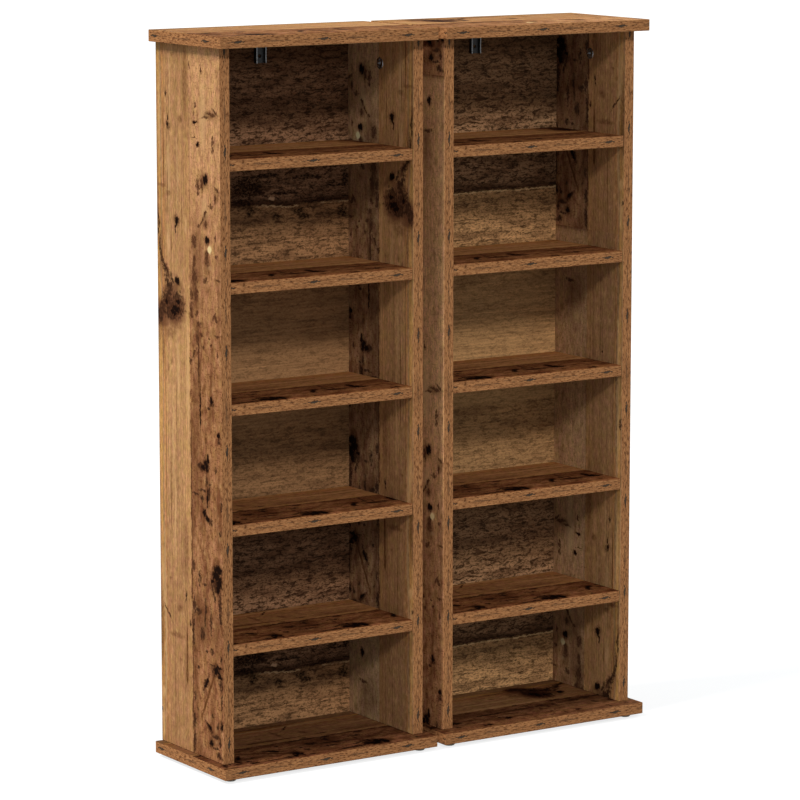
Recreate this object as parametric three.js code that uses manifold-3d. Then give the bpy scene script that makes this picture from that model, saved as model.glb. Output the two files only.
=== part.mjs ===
// Two equal free-standing storage towers for discs in cases, side by side.
// Each tower has a base board and a top board that reach past the body, two side panels, five fixed
// shelves, a thin back panel let into the sides, nail-on glides, and a steel bracket for the wall.
// Millimetres, +Z up, +Y to the back. The origin is on the floor under the middle of the pair.
import * as THREE from "three";
import { ConvexGeometry } from "three/addons/geometries/ConvexGeometry.js";
import { mergeVertices } from "three/addons/utils/BufferGeometryUtils.js";
import Module from "manifold-3d";

const wasm = await Module();
wasm.setup();

// The pair
const towerNames = ["left_tower", "right_tower"];
const towerSpacing = 12; // between the boards of neighbouring towers

// Boards of one tower
const boardWidth = 320; // base and top board, left to right
const boardDepth = 176;
const boardThickness = 15;
const towerHeight = 930; // underside of the base to the upper face of the top
const endOverhang = 10; // base and top beyond each side panel
const frontOverhang = 20; // base and top in front of the side panels
const sideThickness = 15;
const shelfThickness = 15;
const shelfCount = 5;
const shelfSetback = 1; // behind the front edges of the sides
const arris = 0.5; // softened edge of every board
const fitGap = 0.3; // between pieces that meet
const blindSkin = 5; // wood left behind each blind hole in a board's face
const cutOverrun = 1; // how far a cutting shape stands out of the face that it opens

// Back panel, let into a rebate along the inner rear edge of each side
const backThickness = 3;
const rebateWidth = 7;

// Glides, each a disc moulded on a nail
const standHeight = 5; // underside of the base above the floor
const glideRadius = 7.5;
const glideRound = 1.2;
const glideInset = 17; // centre from the front and back edges of the base
const nailRadius = 1.1;

// Dowels
const dowelRadius = 4;
const dowelTaper = 1;
const shelfDowelInset = 30; // centre from the front of the shelf and from the back panel
const topDowelInset = 28; // centre from the front and back edges of the side
const topDowelLength = 30;

// Cam locks that pull the top board down on the sides
const camRadius = 7.5;
const camSkin = 2.5; // wood left behind the cam in the side
const camDrop = 34; // centre below the upper end of the side
const camRound = 0.5;
const recessLength = 8;
const recessWidth = 1.4;
const recessDepth = 2.2;
const boltThreadRadius = 3;
const boltCollarRadius = 3.6;
const boltCollarHeight = 2.5;
const boltNeckRadius = 2;
const boltHeadRadius = 3.2;
const boltHeadHeight = 3;

// Screws up through the base into the lower ends of the sides
const baseScrewInset = 40; // centre from the front and back edges of the side
const baseScrewLength = 50;
const baseScrewRadius = 3.2;
const baseScrewHeadRadius = 5;
const baseScrewHeadHeight = 3;
const baseScrewPoint = 4;
const socketRadius = 2.3;
const socketDepth = 2.2;

// Wall bracket: a folded steel channel under the top board, against the back panel
const bracketWidth = 15;
const bracketHeight = 33;
const bracketFlange = 6;
const bracketReach = 22;
const bracketSteel = 1.5;
const wallHoleRadius = 2.5;
const wallHoleDrop = 24;
const bracketHoleForward = 13; // screw centre in front of the bracket's rear face
const bracketScrewRadius = 1.7;
const bracketScrewPoint = 2;
const bracketHeadRadius = 3.4;
const bracketHeadHeight = 1.8;
const crossLength = 3.6;
const crossWidth = 0.8;
const crossDepth = 1;

// Facets of the round pieces
const boreSides = 10;
const screwSides = 12;
const discSides = 20;
const socketSides = 6;

// Places that follow from the sizes above, in the frame of one tower:
// X from the left end of its boards, Y from their front edge, Z from the floor
const sideHeightTotal = towerHeight - boardThickness - boardThickness;
const baseTop = standHeight + boardThickness;
const topUnderside = baseTop + sideHeightTotal;
const sideFront = frontOverhang;
const sideDepth = boardDepth - frontOverhang;
const backFront = boardDepth - backThickness;
const innerLeft = endOverhang + sideThickness;
const innerRight = boardWidth - innerLeft;
const compartmentHeight = (sideHeightTotal - shelfCount * shelfThickness) / (shelfCount + 1);
const sideFoot = baseTop + fitGap;
const sideHead = topUnderside - fitGap;
const camHeight = sideHead - camDrop;
const sideMiddleY = sideFront + sideDepth / 2;
const boardGrip = boardThickness - blindSkin - fitGap; // how far pins and threads go into a board
const sideGrip = sideThickness - blindSkin - fitGap; // how far the shelf dowels go into a side
const camThickness = sideThickness - camSkin - fitGap;
const sideEnds = [
  { name: "left", outer: endOverhang, inner: innerLeft, inward: 1 },
  { name: "right", outer: boardWidth - endOverhang, inner: innerRight, inward: -1 },
];
const shelfDowelRows = [sideFront + shelfSetback + shelfDowelInset, backFront - shelfDowelInset];
const topDowelRows = [sideFront + topDowelInset, boardDepth - topDowelInset];
const baseScrewRows = [sideFront + baseScrewInset, boardDepth - baseScrewInset];
const glideRows = [
  { name: "front", y: glideInset },
  { name: "rear", y: boardDepth - glideInset },
];

// Finishes
const finishes = {
  board: new THREE.MeshStandardMaterial({ color: 0x9a6a43, roughness: 0.6, metalness: 0 }),
  shelf: new THREE.MeshStandardMaterial({ color: 0x85583a, roughness: 0.6, metalness: 0 }),
  back: new THREE.MeshStandardMaterial({ color: 0x4f3421, roughness: 0.7, metalness: 0 }),
  glide: new THREE.MeshStandardMaterial({ color: 0x7d7566, roughness: 0.5, metalness: 0 }),
  dowel: new THREE.MeshStandardMaterial({ color: 0xd8bd8c, roughness: 0.8, metalness: 0 }),
  bracket: new THREE.MeshStandardMaterial({ color: 0x2c2f31, roughness: 0.45, metalness: 0.7 }),
  steel: new THREE.MeshStandardMaterial({ color: 0xb9bbbd, roughness: 0.35, metalness: 1 }),
  cam: new THREE.MeshStandardMaterial({ color: 0xa8aaab, roughness: 0.45, metalness: 0.9 }),
};

// A closed three.js geometry as a solid that can be joined and cut.
function solidOf(geometry) {
  geometry.deleteAttribute("normal");
  geometry.deleteAttribute("uv");
  const merged = mergeVertices(geometry);
  const triVerts = new Uint32Array(merged.index.array);
  const vertProperties = merged.attributes.position.array;
  return new wasm.Manifold(new wasm.Mesh({ numProp: 3, vertProperties, triVerts }));
}

// A solid as a geometry with flat faces.
function geometryOf(solid) {
  const { vertProperties, triVerts, numProp } = solid.getMesh();
  const indexed = new THREE.BufferGeometry();
  indexed.setAttribute("position", new THREE.BufferAttribute(vertProperties, numProp));
  indexed.setIndex(new THREE.BufferAttribute(triVerts, 1));
  const geometry = indexed.toNonIndexed();
  geometry.computeVertexNormals();
  return geometry;
}

// A solid between two corners, with every edge softened.
function boardSolid(low, high) {
  const middle = low.clone().add(high).divideScalar(2);
  const half = high.clone().sub(low).divideScalar(2);
  const points = [];
  for (const sharp of ["x", "y", "z"]) {
    for (const signX of [-1, 1]) {
      for (const signY of [-1, 1]) {
        for (const signZ of [-1, 1]) {
          const inset = new THREE.Vector3(arris, arris, arris);
          inset[sharp] = 0;
          const corner = half.clone().sub(inset);
          corner.multiply(new THREE.Vector3(signX, signY, signZ));
          points.push(corner.add(middle));
        }
      }
    }
  }
  return solidOf(new ConvexGeometry(points));
}

// A plain box between two corners.
function boxSolid(low, high) {
  const size = high.clone().sub(low);
  const middle = low.clone().add(high).divideScalar(2);
  const box = new THREE.BoxGeometry(size.x, size.y, size.z);
  return solidOf(box.translate(middle.x, middle.y, middle.z));
}

// A box from its middle and its size.
function boxAround(middle, size) {
  const half = size.clone().divideScalar(2);
  return boxSolid(middle.clone().sub(half), middle.clone().add(half));
}

// A turned solid: its profile is [radius, height] pairs from the axis at the foot to the axis at the
// head, standing along `axis` from the point `foot`.
function turnedSolid(profile, foot, axis, sides) {
  const outline = profile.map(([radius, height]) => new THREE.Vector2(radius, height));
  const turned = new THREE.LatheGeometry(outline, sides);
  const upright = new THREE.Vector3(0, 1, 0);
  turned.applyQuaternion(new THREE.Quaternion().setFromUnitVectors(upright, axis));
  return solidOf(turned.translate(foot.x, foot.y, foot.z));
}

// A plain round rod along `axis` from the point `foot`.
function rodSolid(foot, axis, radius, length, sides) {
  const profile = [
    [0, 0],
    [radius, 0],
    [radius, length],
    [0, length],
  ];
  return turnedSolid(profile, foot, axis, sides);
}

// A wooden dowel with tapered ends.
function dowelSolid(foot, axis, length) {
  const profile = [
    [0, 0],
    [dowelRadius - dowelTaper, 0],
    [dowelRadius, dowelTaper],
    [dowelRadius, length - dowelTaper],
    [dowelRadius - dowelTaper, length],
    [0, length],
  ];
  return turnedSolid(profile, foot, axis, boreSides);
}

function cut(solid, cutters) {
  return cutters.reduce((left, cutter) => left.subtract(cutter), solid);
}

const alongX = new THREE.Vector3(1, 0, 0);
const alongY = new THREE.Vector3(0, 1, 0);
const alongZ = new THREE.Vector3(0, 0, 1);

function sideMiddleX(end) {
  return (end.outer + end.inner) / 2;
}

function shelfUnderside(index) {
  return baseTop + compartmentHeight + index * (compartmentHeight + shelfThickness);
}

// A round hole that a piece of this radius passes or seats in, open at the foot end.
function bore(foot, axis, radius, depth) {
  const start = foot.clone().addScaledVector(axis, -cutOverrun);
  const length = depth + fitGap + cutOverrun;
  return rodSolid(start, axis, radius + fitGap, length, boreSides);
}

// The base board: screws pass up through it, and the glides' nails end in it.
function baseBoard() {
  const low = new THREE.Vector3(0, 0, standHeight);
  const high = new THREE.Vector3(boardWidth, boardDepth, baseTop);
  const cutters = [];
  for (const end of sideEnds) {
    const x = sideMiddleX(end);
    for (const y of baseScrewRows) {
      const foot = new THREE.Vector3(x, y, standHeight);
      const headCut = baseScrewHeadRadius + fitGap;
      const shankCut = baseScrewRadius + fitGap;
      const profile = [
        [0, -cutOverrun],
        [headCut, -cutOverrun],
        [headCut, fitGap],
        [shankCut, baseScrewHeadHeight + fitGap],
        [shankCut, boardThickness + cutOverrun],
        [0, boardThickness + cutOverrun],
      ];
      cutters.push(turnedSolid(profile, foot, alongZ, screwSides));
    }
    for (const row of glideRows) {
      const foot = new THREE.Vector3(x, row.y, standHeight);
      cutters.push(bore(foot, alongZ, nailRadius, boardGrip));
    }
  }
  return cut(boardSolid(low, high), cutters);
}

// The top board: blind holes in its underside take the dowels, the cam bolts and the bracket screw.
function topBoard() {
  const low = new THREE.Vector3(0, 0, topUnderside);
  const high = new THREE.Vector3(boardWidth, boardDepth, topUnderside + boardThickness);
  const cutters = [];
  for (const end of sideEnds) {
    const x = sideMiddleX(end);
    for (const y of topDowelRows) {
      cutters.push(bore(new THREE.Vector3(x, y, topUnderside), alongZ, dowelRadius, boardGrip));
    }
    const boltFoot = new THREE.Vector3(x, sideMiddleY, topUnderside);
    cutters.push(bore(boltFoot, alongZ, boltThreadRadius, boardGrip));
  }
  const screwFoot = bracketScrewPlace();
  cutters.push(bore(screwFoot.setZ(topUnderside), alongZ, bracketScrewRadius, boardGrip));
  return cut(boardSolid(low, high), cutters);
}

// A side panel, with its shelf dowel holes, its end bores, the cam pocket and the rebate for the back.
function sidePanel(end) {
  const low = new THREE.Vector3(Math.min(end.outer, end.inner), sideFront, sideFoot);
  const high = new THREE.Vector3(Math.max(end.outer, end.inner), boardDepth, sideHead);
  const x = sideMiddleX(end);
  const outward = alongX.clone().multiplyScalar(-end.inward);
  const down = alongZ.clone().negate();
  const cutters = [];
  for (let index = 0; index < shelfCount; index += 1) {
    const z = shelfUnderside(index) + shelfThickness / 2;
    for (const y of shelfDowelRows) {
      cutters.push(bore(new THREE.Vector3(end.inner, y, z), outward, dowelRadius, sideGrip));
    }
  }
  for (const y of topDowelRows) {
    const depth = topDowelLength - boardGrip;
    cutters.push(bore(new THREE.Vector3(x, y, sideHead), down, dowelRadius, depth));
  }
  for (const y of baseScrewRows) {
    const depth = baseScrewLength - boardThickness;
    cutters.push(bore(new THREE.Vector3(x, y, sideFoot), alongZ, baseScrewRadius, depth));
  }
  const boltTop = new THREE.Vector3(x, sideMiddleY, sideHead);
  cutters.push(bore(boltTop, down, boltCollarRadius, camDrop));
  const pocketMouth = new THREE.Vector3(end.inner, sideMiddleY, camHeight);
  cutters.push(camPocket(pocketMouth, outward));
  cutters.push(rebate(end));
  return cut(boardSolid(low, high), cutters);
}

function camPocket(mouth, axis) {
  const start = mouth.clone().addScaledVector(axis, -cutOverrun);
  const depth = camThickness + fitGap + cutOverrun;
  return rodSolid(start, axis, camRadius + fitGap, depth, discSides);
}

// The step along the inner rear edge of a side, which the back panel lies in.
function rebate(end) {
  const inner = end.inner + end.inward * cutOverrun;
  const outer = end.inner - end.inward * rebateWidth;
  const low = new THREE.Vector3(Math.min(inner, outer), backFront, sideFoot - cutOverrun);
  const rear = boardDepth + cutOverrun;
  const high = new THREE.Vector3(Math.max(inner, outer), rear, sideHead + cutOverrun);
  return boxSolid(low, high);
}

// A fixed shelf with its dowels glued in, two at each end.
function shelf(index) {
  const z = shelfUnderside(index);
  const low = new THREE.Vector3(innerLeft + fitGap, sideFront + shelfSetback, z);
  const high = new THREE.Vector3(innerRight - fitGap, backFront - fitGap, z + shelfThickness);
  const length = innerRight - innerLeft + sideGrip + sideGrip;
  const dowels = shelfDowelRows.map((y) => {
    const foot = new THREE.Vector3(innerLeft - sideGrip, y, z + shelfThickness / 2);
    return dowelSolid(foot, alongX, length);
  });
  return dowels.reduce((joined, dowel) => joined.add(dowel), boardSolid(low, high));
}

// The back panel, which lies in the rebates of both sides.
function backPanel() {
  const reach = rebateWidth - fitGap;
  const low = new THREE.Vector3(innerLeft - reach, backFront + fitGap, sideFoot);
  const high = new THREE.Vector3(innerRight + reach, boardDepth, sideHead);
  return boxSolid(low, high);
}

function glide(end, row) {
  const disc = standHeight - fitGap;
  const profile = [
    [0, 0],
    [glideRadius - glideRound, 0],
    [glideRadius, glideRound],
    [glideRadius, disc],
    [nailRadius, disc],
    [nailRadius, standHeight + boardGrip - nailRadius],
    [0, standHeight + boardGrip],
  ];
  return turnedSolid(profile, new THREE.Vector3(sideMiddleX(end), row.y, 0), alongZ, discSides);
}

// A countersunk screw with a six-sided socket, from under the base up into a side.
function baseScrew(end, y) {
  const profile = [
    [0, 0],
    [baseScrewHeadRadius, 0],
    [baseScrewRadius, baseScrewHeadHeight],
    [baseScrewRadius, baseScrewLength - baseScrewPoint],
    [0, baseScrewLength],
  ];
  const foot = new THREE.Vector3(sideMiddleX(end), y, standHeight);
  const socketFoot = foot.clone().setZ(standHeight - cutOverrun);
  const socket = rodSolid(socketFoot, alongZ, socketRadius, socketDepth + cutOverrun, socketSides);
  return cut(turnedSolid(profile, foot, alongZ, screwSides), [socket]);
}

function topDowel(end, y) {
  const foot = new THREE.Vector3(sideMiddleX(end), y, topUnderside + boardGrip - topDowelLength);
  return dowelSolid(foot, alongZ, topDowelLength);
}

// A cam bolt: thread in the top board, collar under it, neck, and the head that the cam draws on.
function camBolt(end) {
  const reach = camDrop + fitGap; // from the top board down to the middle of the cam
  const headFoot = boltHeadHeight / 2;
  const profile = [
    [0, -headFoot],
    [boltHeadRadius, -headFoot],
    [boltHeadRadius, headFoot],
    [boltNeckRadius, headFoot],
    [boltNeckRadius, reach - boltCollarHeight - fitGap],
    [boltCollarRadius, reach - boltCollarHeight - fitGap],
    [boltCollarRadius, reach - fitGap],
    [boltThreadRadius, reach - fitGap],
    [boltThreadRadius, reach + boardGrip],
    [0, reach + boardGrip],
  ];
  const middle = new THREE.Vector3(sideMiddleX(end), sideMiddleY, camHeight);
  return turnedSolid(profile, middle, alongZ, boreSides);
}

// A cam lock: a disc with a crossed recess in its face and a channel for the bolt's head.
function camLock(end) {
  const outward = alongX.clone().multiplyScalar(-end.inward);
  const mouth = new THREE.Vector3(end.inner, sideMiddleY, camHeight);
  const profile = [
    [0, 0],
    [camRadius - camRound, 0],
    [camRadius, camRound],
    [camRadius, camThickness],
    [0, camThickness],
  ];
  const disc = turnedSolid(profile, mouth, outward, discSides);
  const channelFoot = boltHeadHeight / 2 + fitGap;
  const channelStart = new THREE.Vector3(sideMiddleX(end), sideMiddleY, camHeight - channelFoot);
  const channelRadius = boltHeadRadius + fitGap;
  const channelLength = channelFoot + camRadius + cutOverrun;
  const channel = rodSolid(channelStart, alongZ, channelRadius, channelLength, boreSides);
  const recessSpan = recessDepth + recessDepth;
  const upright = boxAround(mouth, new THREE.Vector3(recessSpan, recessWidth, recessLength));
  const level = boxAround(mouth, new THREE.Vector3(recessSpan, recessLength, recessWidth));
  return cut(disc, [channel, upright, level]);
}

function bracketTop() {
  return topUnderside - fitGap;
}

function bracketRear() {
  return backFront - fitGap;
}

// Centre of the bracket's screw, on the underside of its upper leaf.
function bracketScrewPlace() {
  const y = bracketRear() - bracketHoleForward;
  return new THREE.Vector3(boardWidth / 2, y, bracketTop() - bracketSteel);
}

// The wall bracket: a channel with an upper leaf, screwed up into the top board.
function wallBracket() {
  const left = (boardWidth - bracketWidth) / 2;
  const right = left + bracketWidth;
  const rear = bracketRear();
  const web = rear - bracketSteel;
  const front = rear - bracketFlange;
  const channel = new THREE.Shape([
    new THREE.Vector2(left, front),
    new THREE.Vector2(left + bracketSteel, front),
    new THREE.Vector2(left + bracketSteel, web),
    new THREE.Vector2(right - bracketSteel, web),
    new THREE.Vector2(right - bracketSteel, front),
    new THREE.Vector2(right, front),
    new THREE.Vector2(right, rear),
    new THREE.Vector2(left, rear),
  ]);
  const extrusion = { depth: bracketHeight, bevelEnabled: false };
  const folded = new THREE.ExtrudeGeometry(channel, extrusion);
  const upright = solidOf(folded.translate(0, 0, bracketTop() - bracketHeight));
  const leafLow = new THREE.Vector3(left, rear - bracketReach, bracketTop() - bracketSteel);
  const leafHigh = new THREE.Vector3(right, rear, bracketTop());
  const screwHole = bore(bracketScrewPlace(), alongZ, bracketScrewRadius, bracketSteel + cutOverrun);
  const joined = upright.add(boxSolid(leafLow, leafHigh));
  return cut(joined, [screwHole, wallHole(web)]);
}

// The hole in the bracket's web for a screw through the back panel and into the wall.
function wallHole(web) {
  const start = new THREE.Vector3(boardWidth / 2, web - cutOverrun, bracketTop() - wallHoleDrop);
  return rodSolid(start, alongY, wallHoleRadius, bracketSteel + cutOverrun + cutOverrun, boreSides);
}

// The bracket's screw, head down, with a crossed recess.
function bracketScrew() {
  const place = bracketScrewPlace();
  const foot = place.clone().setZ(place.z - bracketHeadHeight - fitGap);
  const threadEnd = topUnderside + boardGrip - foot.z;
  const profile = [
    [0, 0],
    [bracketHeadRadius - crossDepth, 0],
    [bracketHeadRadius, crossDepth],
    [bracketHeadRadius, bracketHeadHeight],
    [bracketScrewRadius, bracketHeadHeight],
    [bracketScrewRadius, threadEnd - bracketScrewPoint],
    [0, threadEnd],
  ];
  const crossSpan = crossDepth + crossDepth;
  const wide = boxAround(foot, new THREE.Vector3(crossLength, crossWidth, crossSpan));
  const deep = boxAround(foot, new THREE.Vector3(crossWidth, crossLength, crossSpan));
  return cut(turnedSolid(profile, foot, alongZ, boreSides), [wide, deep]);
}

// One tower as a group of named meshes, each placed by the middle of its own box.
function tower(prefix) {
  const group = new THREE.Group();
  function add(name, solid, material) {
    const geometry = geometryOf(solid);
    geometry.computeBoundingBox();
    const middle = geometry.boundingBox.getCenter(new THREE.Vector3());
    geometry.translate(-middle.x, -middle.y, -middle.z);
    const mesh = new THREE.Mesh(geometry, material);
    mesh.name = `${prefix}_${name}`;
    mesh.position.copy(middle);
    group.add(mesh);
  }
  add("base_board", baseBoard(), finishes.board);
  add("top_board", topBoard(), finishes.board);
  add("back_panel", backPanel(), finishes.back);
  for (let index = 0; index < shelfCount; index += 1) {
    add(`shelf_${index + 1}`, shelf(index), finishes.shelf);
  }
  for (const end of sideEnds) {
    add(`${end.name}_side`, sidePanel(end), finishes.board);
    add(`cam_bolt_${end.name}`, camBolt(end), finishes.steel);
    add(`cam_lock_${end.name}`, camLock(end), finishes.cam);
    baseScrewRows.forEach((y, row) => {
      add(`base_screw_${end.name}_${glideRows[row].name}`, baseScrew(end, y), finishes.steel);
    });
    topDowelRows.forEach((y, row) => {
      add(`top_dowel_${end.name}_${glideRows[row].name}`, topDowel(end, y), finishes.dowel);
    });
    for (const row of glideRows) {
      add(`glide_${end.name}_${row.name}`, glide(end, row), finishes.glide);
    }
  }
  add("wall_bracket", wallBracket(), finishes.bracket);
  add("bracket_screw", bracketScrew(), finishes.steel);
  return group;
}

const pair = new THREE.Group();
const pairWidth = towerNames.length * (boardWidth + towerSpacing) - towerSpacing;
towerNames.forEach((name, index) => {
  const placed = tower(name);
  placed.position.set(index * (boardWidth + towerSpacing) - pairWidth / 2, -boardDepth / 2, 0);
  pair.add(placed);
});

export default pair;
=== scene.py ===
import bmesh
import bpy
import math
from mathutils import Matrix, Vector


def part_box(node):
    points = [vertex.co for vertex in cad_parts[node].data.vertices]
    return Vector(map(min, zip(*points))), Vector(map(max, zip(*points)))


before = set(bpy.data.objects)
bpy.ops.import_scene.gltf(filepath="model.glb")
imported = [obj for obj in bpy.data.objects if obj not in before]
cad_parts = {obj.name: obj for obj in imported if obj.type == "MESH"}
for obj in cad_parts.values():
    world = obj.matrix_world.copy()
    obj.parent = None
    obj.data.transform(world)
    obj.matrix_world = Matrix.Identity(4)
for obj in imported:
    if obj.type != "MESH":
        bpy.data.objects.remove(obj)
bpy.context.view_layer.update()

# Two storage towers side by side, board by board as the frame holds them.
# The shapes are the frame's own. This script gives every board its printed old-wood decor and its
# banded edges, finishes the small hardware, and adds the light, the floor and the camera.
# Materials work in millimetres, from object coordinates, which are the frame's own coordinates.
# Colours are written as a screen shows them, in red, green and blue from 0 to 255.
MM = 0.001
WHITE = (1, 1, 1, 1)

# Names of the pieces
TOWERS = ("left_tower", "right_tower")
ENDS = ("left", "right")
ROWS = ("front", "rear")
SHELVES = tuple(f"shelf_{number}" for number in range(1, 6))

# The range in which a noise mostly stays, and a wider one
USUAL_NOISE = (0.3, 0.7)
WIDE_NOISE = (0.2, 0.8)

# Detail and roughness of the noise that shifts places
WARP_GRAIN = (1.0, 0.5)

# Lanes of marks: a ramp's steps and most stops, the least gap between two marks in steps, and how
# far a turned lane reaches past the print, as a share of its length
RAMP_STEPS = 255
MOST_STOPS = 31
LANE_GAP = 1.2
LANE_MARGIN = 0.2


def shade(red, green, blue):
    """A colour on a screen as a node's linear values, by the curve that screens use."""

    def linear(part):
        share = part / 255
        return share / 12.92 if share <= 0.04045 else ((share + 0.055) / 1.055) ** 2.4

    return (linear(red), linear(green), linear(blue), 1.0)


def scaled(colour, factor):
    """A node's colour times a factor."""
    return tuple(part * factor for part in colour[:3]) + (1.0,)


class Tree:
    """A node tree with a short call for each kind of node."""

    def __init__(self, tree):
        self.nodes = tree.nodes
        self.links = tree.links

    def feed(self, socket, value):
        """Links a socket to another node's output, or gives it a plain value."""
        if isinstance(value, bpy.types.NodeSocket):
            self.links.new(value, socket)
        else:
            socket.default_value = value

    def add(self, kind, *values, **settings):
        node = self.nodes.new("ShaderNode" + kind)
        for key, setting in settings.items():
            setattr(node, key, setting)
        for socket, value in zip(node.inputs, values):
            self.feed(socket, value)
        return node

    def math(self, operation, *values):
        return self.add("Math", *values, operation=operation).outputs[0]

    def vector(self, operation, *values):
        return self.add("VectorMath", *values, operation=operation).outputs["Vector"]

    def parts(self, vector):
        return self.add("SeparateXYZ", vector).outputs

    def join(self, x, y, z=0.0):
        return self.add("CombineXYZ", x, y, z).outputs[0]

    def remap(self, value, low, high, to_low=0.0, to_high=1.0, soft=True):
        kind = "SMOOTHSTEP" if soft else "LINEAR"
        node = self.add("MapRange", value, low, high, to_low, to_high, interpolation_type=kind)
        return node.outputs[0]

    def between(self, share, first, second):
        """First where share is 0, second where it is 1, and evenly between them."""
        return self.remap(share, 0, 1, first, second, soft=False)

    def swing(self, noise, first, second, usual=USUAL_NOISE):
        """The usual range of a noise, spread evenly from first to second."""
        return self.remap(noise, *usual, first, second, soft=False)

    def away(self, value, middle):
        """How far a value is from the middle, to either side."""
        return self.math("ABSOLUTE", self.math("SUBTRACT", value, middle))

    def mix(self, factor, first, second, blend="MIX"):
        node = self.add("Mix", factor, data_type="RGBA", blend_type=blend)
        self.feed(node.inputs[6], first)
        self.feed(node.inputs[7], second)
        return node.outputs[2]

    def mix_vector(self, factor, first, second):
        node = self.add("Mix", factor, data_type="VECTOR")
        self.feed(node.inputs[4], first)
        self.feed(node.inputs[5], second)
        return node.outputs[1]

    def dim(self, colour, factor):
        """A colour, lighter or darker by the factor."""
        return self.vector("MULTIPLY", colour, self.join(factor, factor, factor))

    def draw(self, colour, value, begin, full, tone, strength=None):
        """A colour under a tone, which begins where value is begin and is full where it is full.
        There it covers the colour, or takes the share of it that strength says."""
        amount = self.remap(value, begin, full)
        if strength is not None:
            amount = self.math("MULTIPLY", amount, strength)
        return self.mix(amount, colour, tone)

    def ramp(self, value, stops):
        """A colour along value, from 0 to 1, by stops of a position and a screen colour."""
        node = self.add("ValToRGB", value)
        elements = node.color_ramp.elements
        while len(elements) < len(stops):
            elements.new(1.0)
        for element, (position, colour) in zip(elements, stops):
            element.position = position
            element.color = shade(*colour)
        return node.outputs[0]

    def noise(self, place, across, along, detail, roughness, seed, colour=False):
        """Flat noise from 0 to 1 whose marks are about across by along millimetres."""
        spot = self.vector("MULTIPLY_ADD", place, (1 / across, 1 / along, 0), (seed, seed, 0))
        node = self.add("TexNoise", spot, noise_dimensions="2D")
        node.inputs["Scale"].default_value = 1.0
        node.inputs["Detail"].default_value = detail
        node.inputs["Roughness"].default_value = roughness
        return node.outputs[1 if colour else 0]

    def noises(self, place, table, *names):
        """The noises of a table that the names choose."""
        return [self.noise(place, *table[name]) for name in names]

    def warp(self, place, size, reach, seed):
        """Place shifted by up to reach millimetres, in waves of about size millimetres."""
        shift = self.noise(place, size, size, *WARP_GRAIN, seed, colour=True)
        return self.vector("MULTIPLY_ADD", shift, (2 * reach, 2 * reach, 0),
                           self.vector("ADD", place, (-reach, -reach, 0)))

    def nearness(self, place, marks, length, reach):
        """The least distance to any mark, as a share of its half size: 1 on a mark's outline.
        A mark is its place across and along, its half width and half length, and its turn in degrees.
        Marks that share a turn go into lanes in which none lies beside another.
        A ramp holds no value below 0, so lanes turned that way count across from a shift."""
        least = None
        for turn in sorted({turn_of(mark) for mark in marks}):
            angle = math.radians(turn)
            cosine, sine = math.cos(angle), math.sin(angle)
            spot = place
            if turn:
                spot = self.add("VectorRotate", place, rotation_type="Z_AXIS").outputs[0]
                spot.node.inputs["Angle"].default_value = -angle
            margin = length * abs(sine) * LANE_MARGIN
            low, high = -margin, length + margin
            across, along, _ = self.parts(spot)
            shift = max(0.0, -length * sine)
            if shift:
                across = self.math("ADD", across, shift)
            share = self.remap(along, low, high, soft=False)
            turned = [(mark[0] * cosine + mark[1] * sine + shift, mark[1] * cosine - mark[0] * sine,
                       mark[2], mark[3]) for mark in marks if turn_of(mark) == turn]
            step = (high - low) / RAMP_STEPS
            for lane in lanes_of(turned, reach, LANE_GAP * step):
                centre_across, centre_along, width, size = self.lane(share, lane, low, high, reach)
                aside = self.math("DIVIDE", self.math("SUBTRACT", across, centre_across), width)
                ahead = self.math("DIVIDE", self.math("SUBTRACT", along, centre_along), size)
                distance = self.math("MULTIPLY_ADD", aside, aside, self.math("MULTIPLY", ahead, ahead))
                least = distance if least is None else self.math("MINIMUM", least, distance)
        return self.math("SQRT", least)

    def lane(self, share, marks, low, high, reach):
        """The one mark of a lane that a place can be near: its place across and along and half sizes.
        They are the colour and alpha of a ramp, which changes midway between two marks. Share is
        the place along, from low to high."""
        ramp = self.add("ValToRGB", share)
        ramp.color_ramp.interpolation = "CONSTANT"
        elements = ramp.color_ramp.elements
        step = (high - low) / RAMP_STEPS
        end = low
        for number, mark in enumerate(marks):
            begin = low if number == 0 else (end + mark[1] - reach * mark[3] - step) / 2
            position = (begin - low) / (high - low)
            element = elements[0] if number == 0 else elements.new(position)
            element.position = position
            element.color = mark
            end = mark[1] + reach * mark[3]
        elements.remove(elements[-1])
        across, along, width = self.add("SeparateColor", ramp.outputs["Color"]).outputs
        return across, along, width, ramp.outputs["Alpha"]


def turn_of(mark):
    """A mark's turn in degrees, which only slanted marks give."""
    return mark[4] if len(mark) > 4 else 0


def lanes_of(marks, reach, gap):
    """The marks shared out over as few lanes as keep them clear of each other along the lane."""
    lanes = []
    for mark in sorted(marks, key=lambda each: each[1] - reach * each[3]):
        begin = mark[1] - reach * mark[3]
        for lane in lanes:
            last = lane[-1]
            if last[1] + reach * last[3] + gap < begin and len(lane) < MOST_STOPS:
                lane.append(mark)
                break
        else:
            lanes.append([mark])
    return lanes


def new_print(name):
    """A print as a node group, its tree, the place that it is given and the ends it feeds."""
    group = bpy.data.node_groups.new(name, "ShaderNodeTree")
    for side, socket_name, kind in (
            ("INPUT", "Place", "Vector"), ("OUTPUT", "Colour", "Color"), ("OUTPUT", "Height", "Float")):
        group.interface.new_socket(socket_name, in_out=side, socket_type="NodeSocket" + kind)
    entry = group.nodes.new("NodeGroupInput")
    leave = group.nodes.new("NodeGroupOutput")
    return group, Tree(group), entry.outputs["Place"], leave.inputs


# Old-wood decor: two planks side by side, which repeat along their grain and meet at the seam.
# Places are across from the rear plank's rear edge and along from the start of the repeat.
REPEAT = 1222.0
SEAM = 80.0

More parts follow.
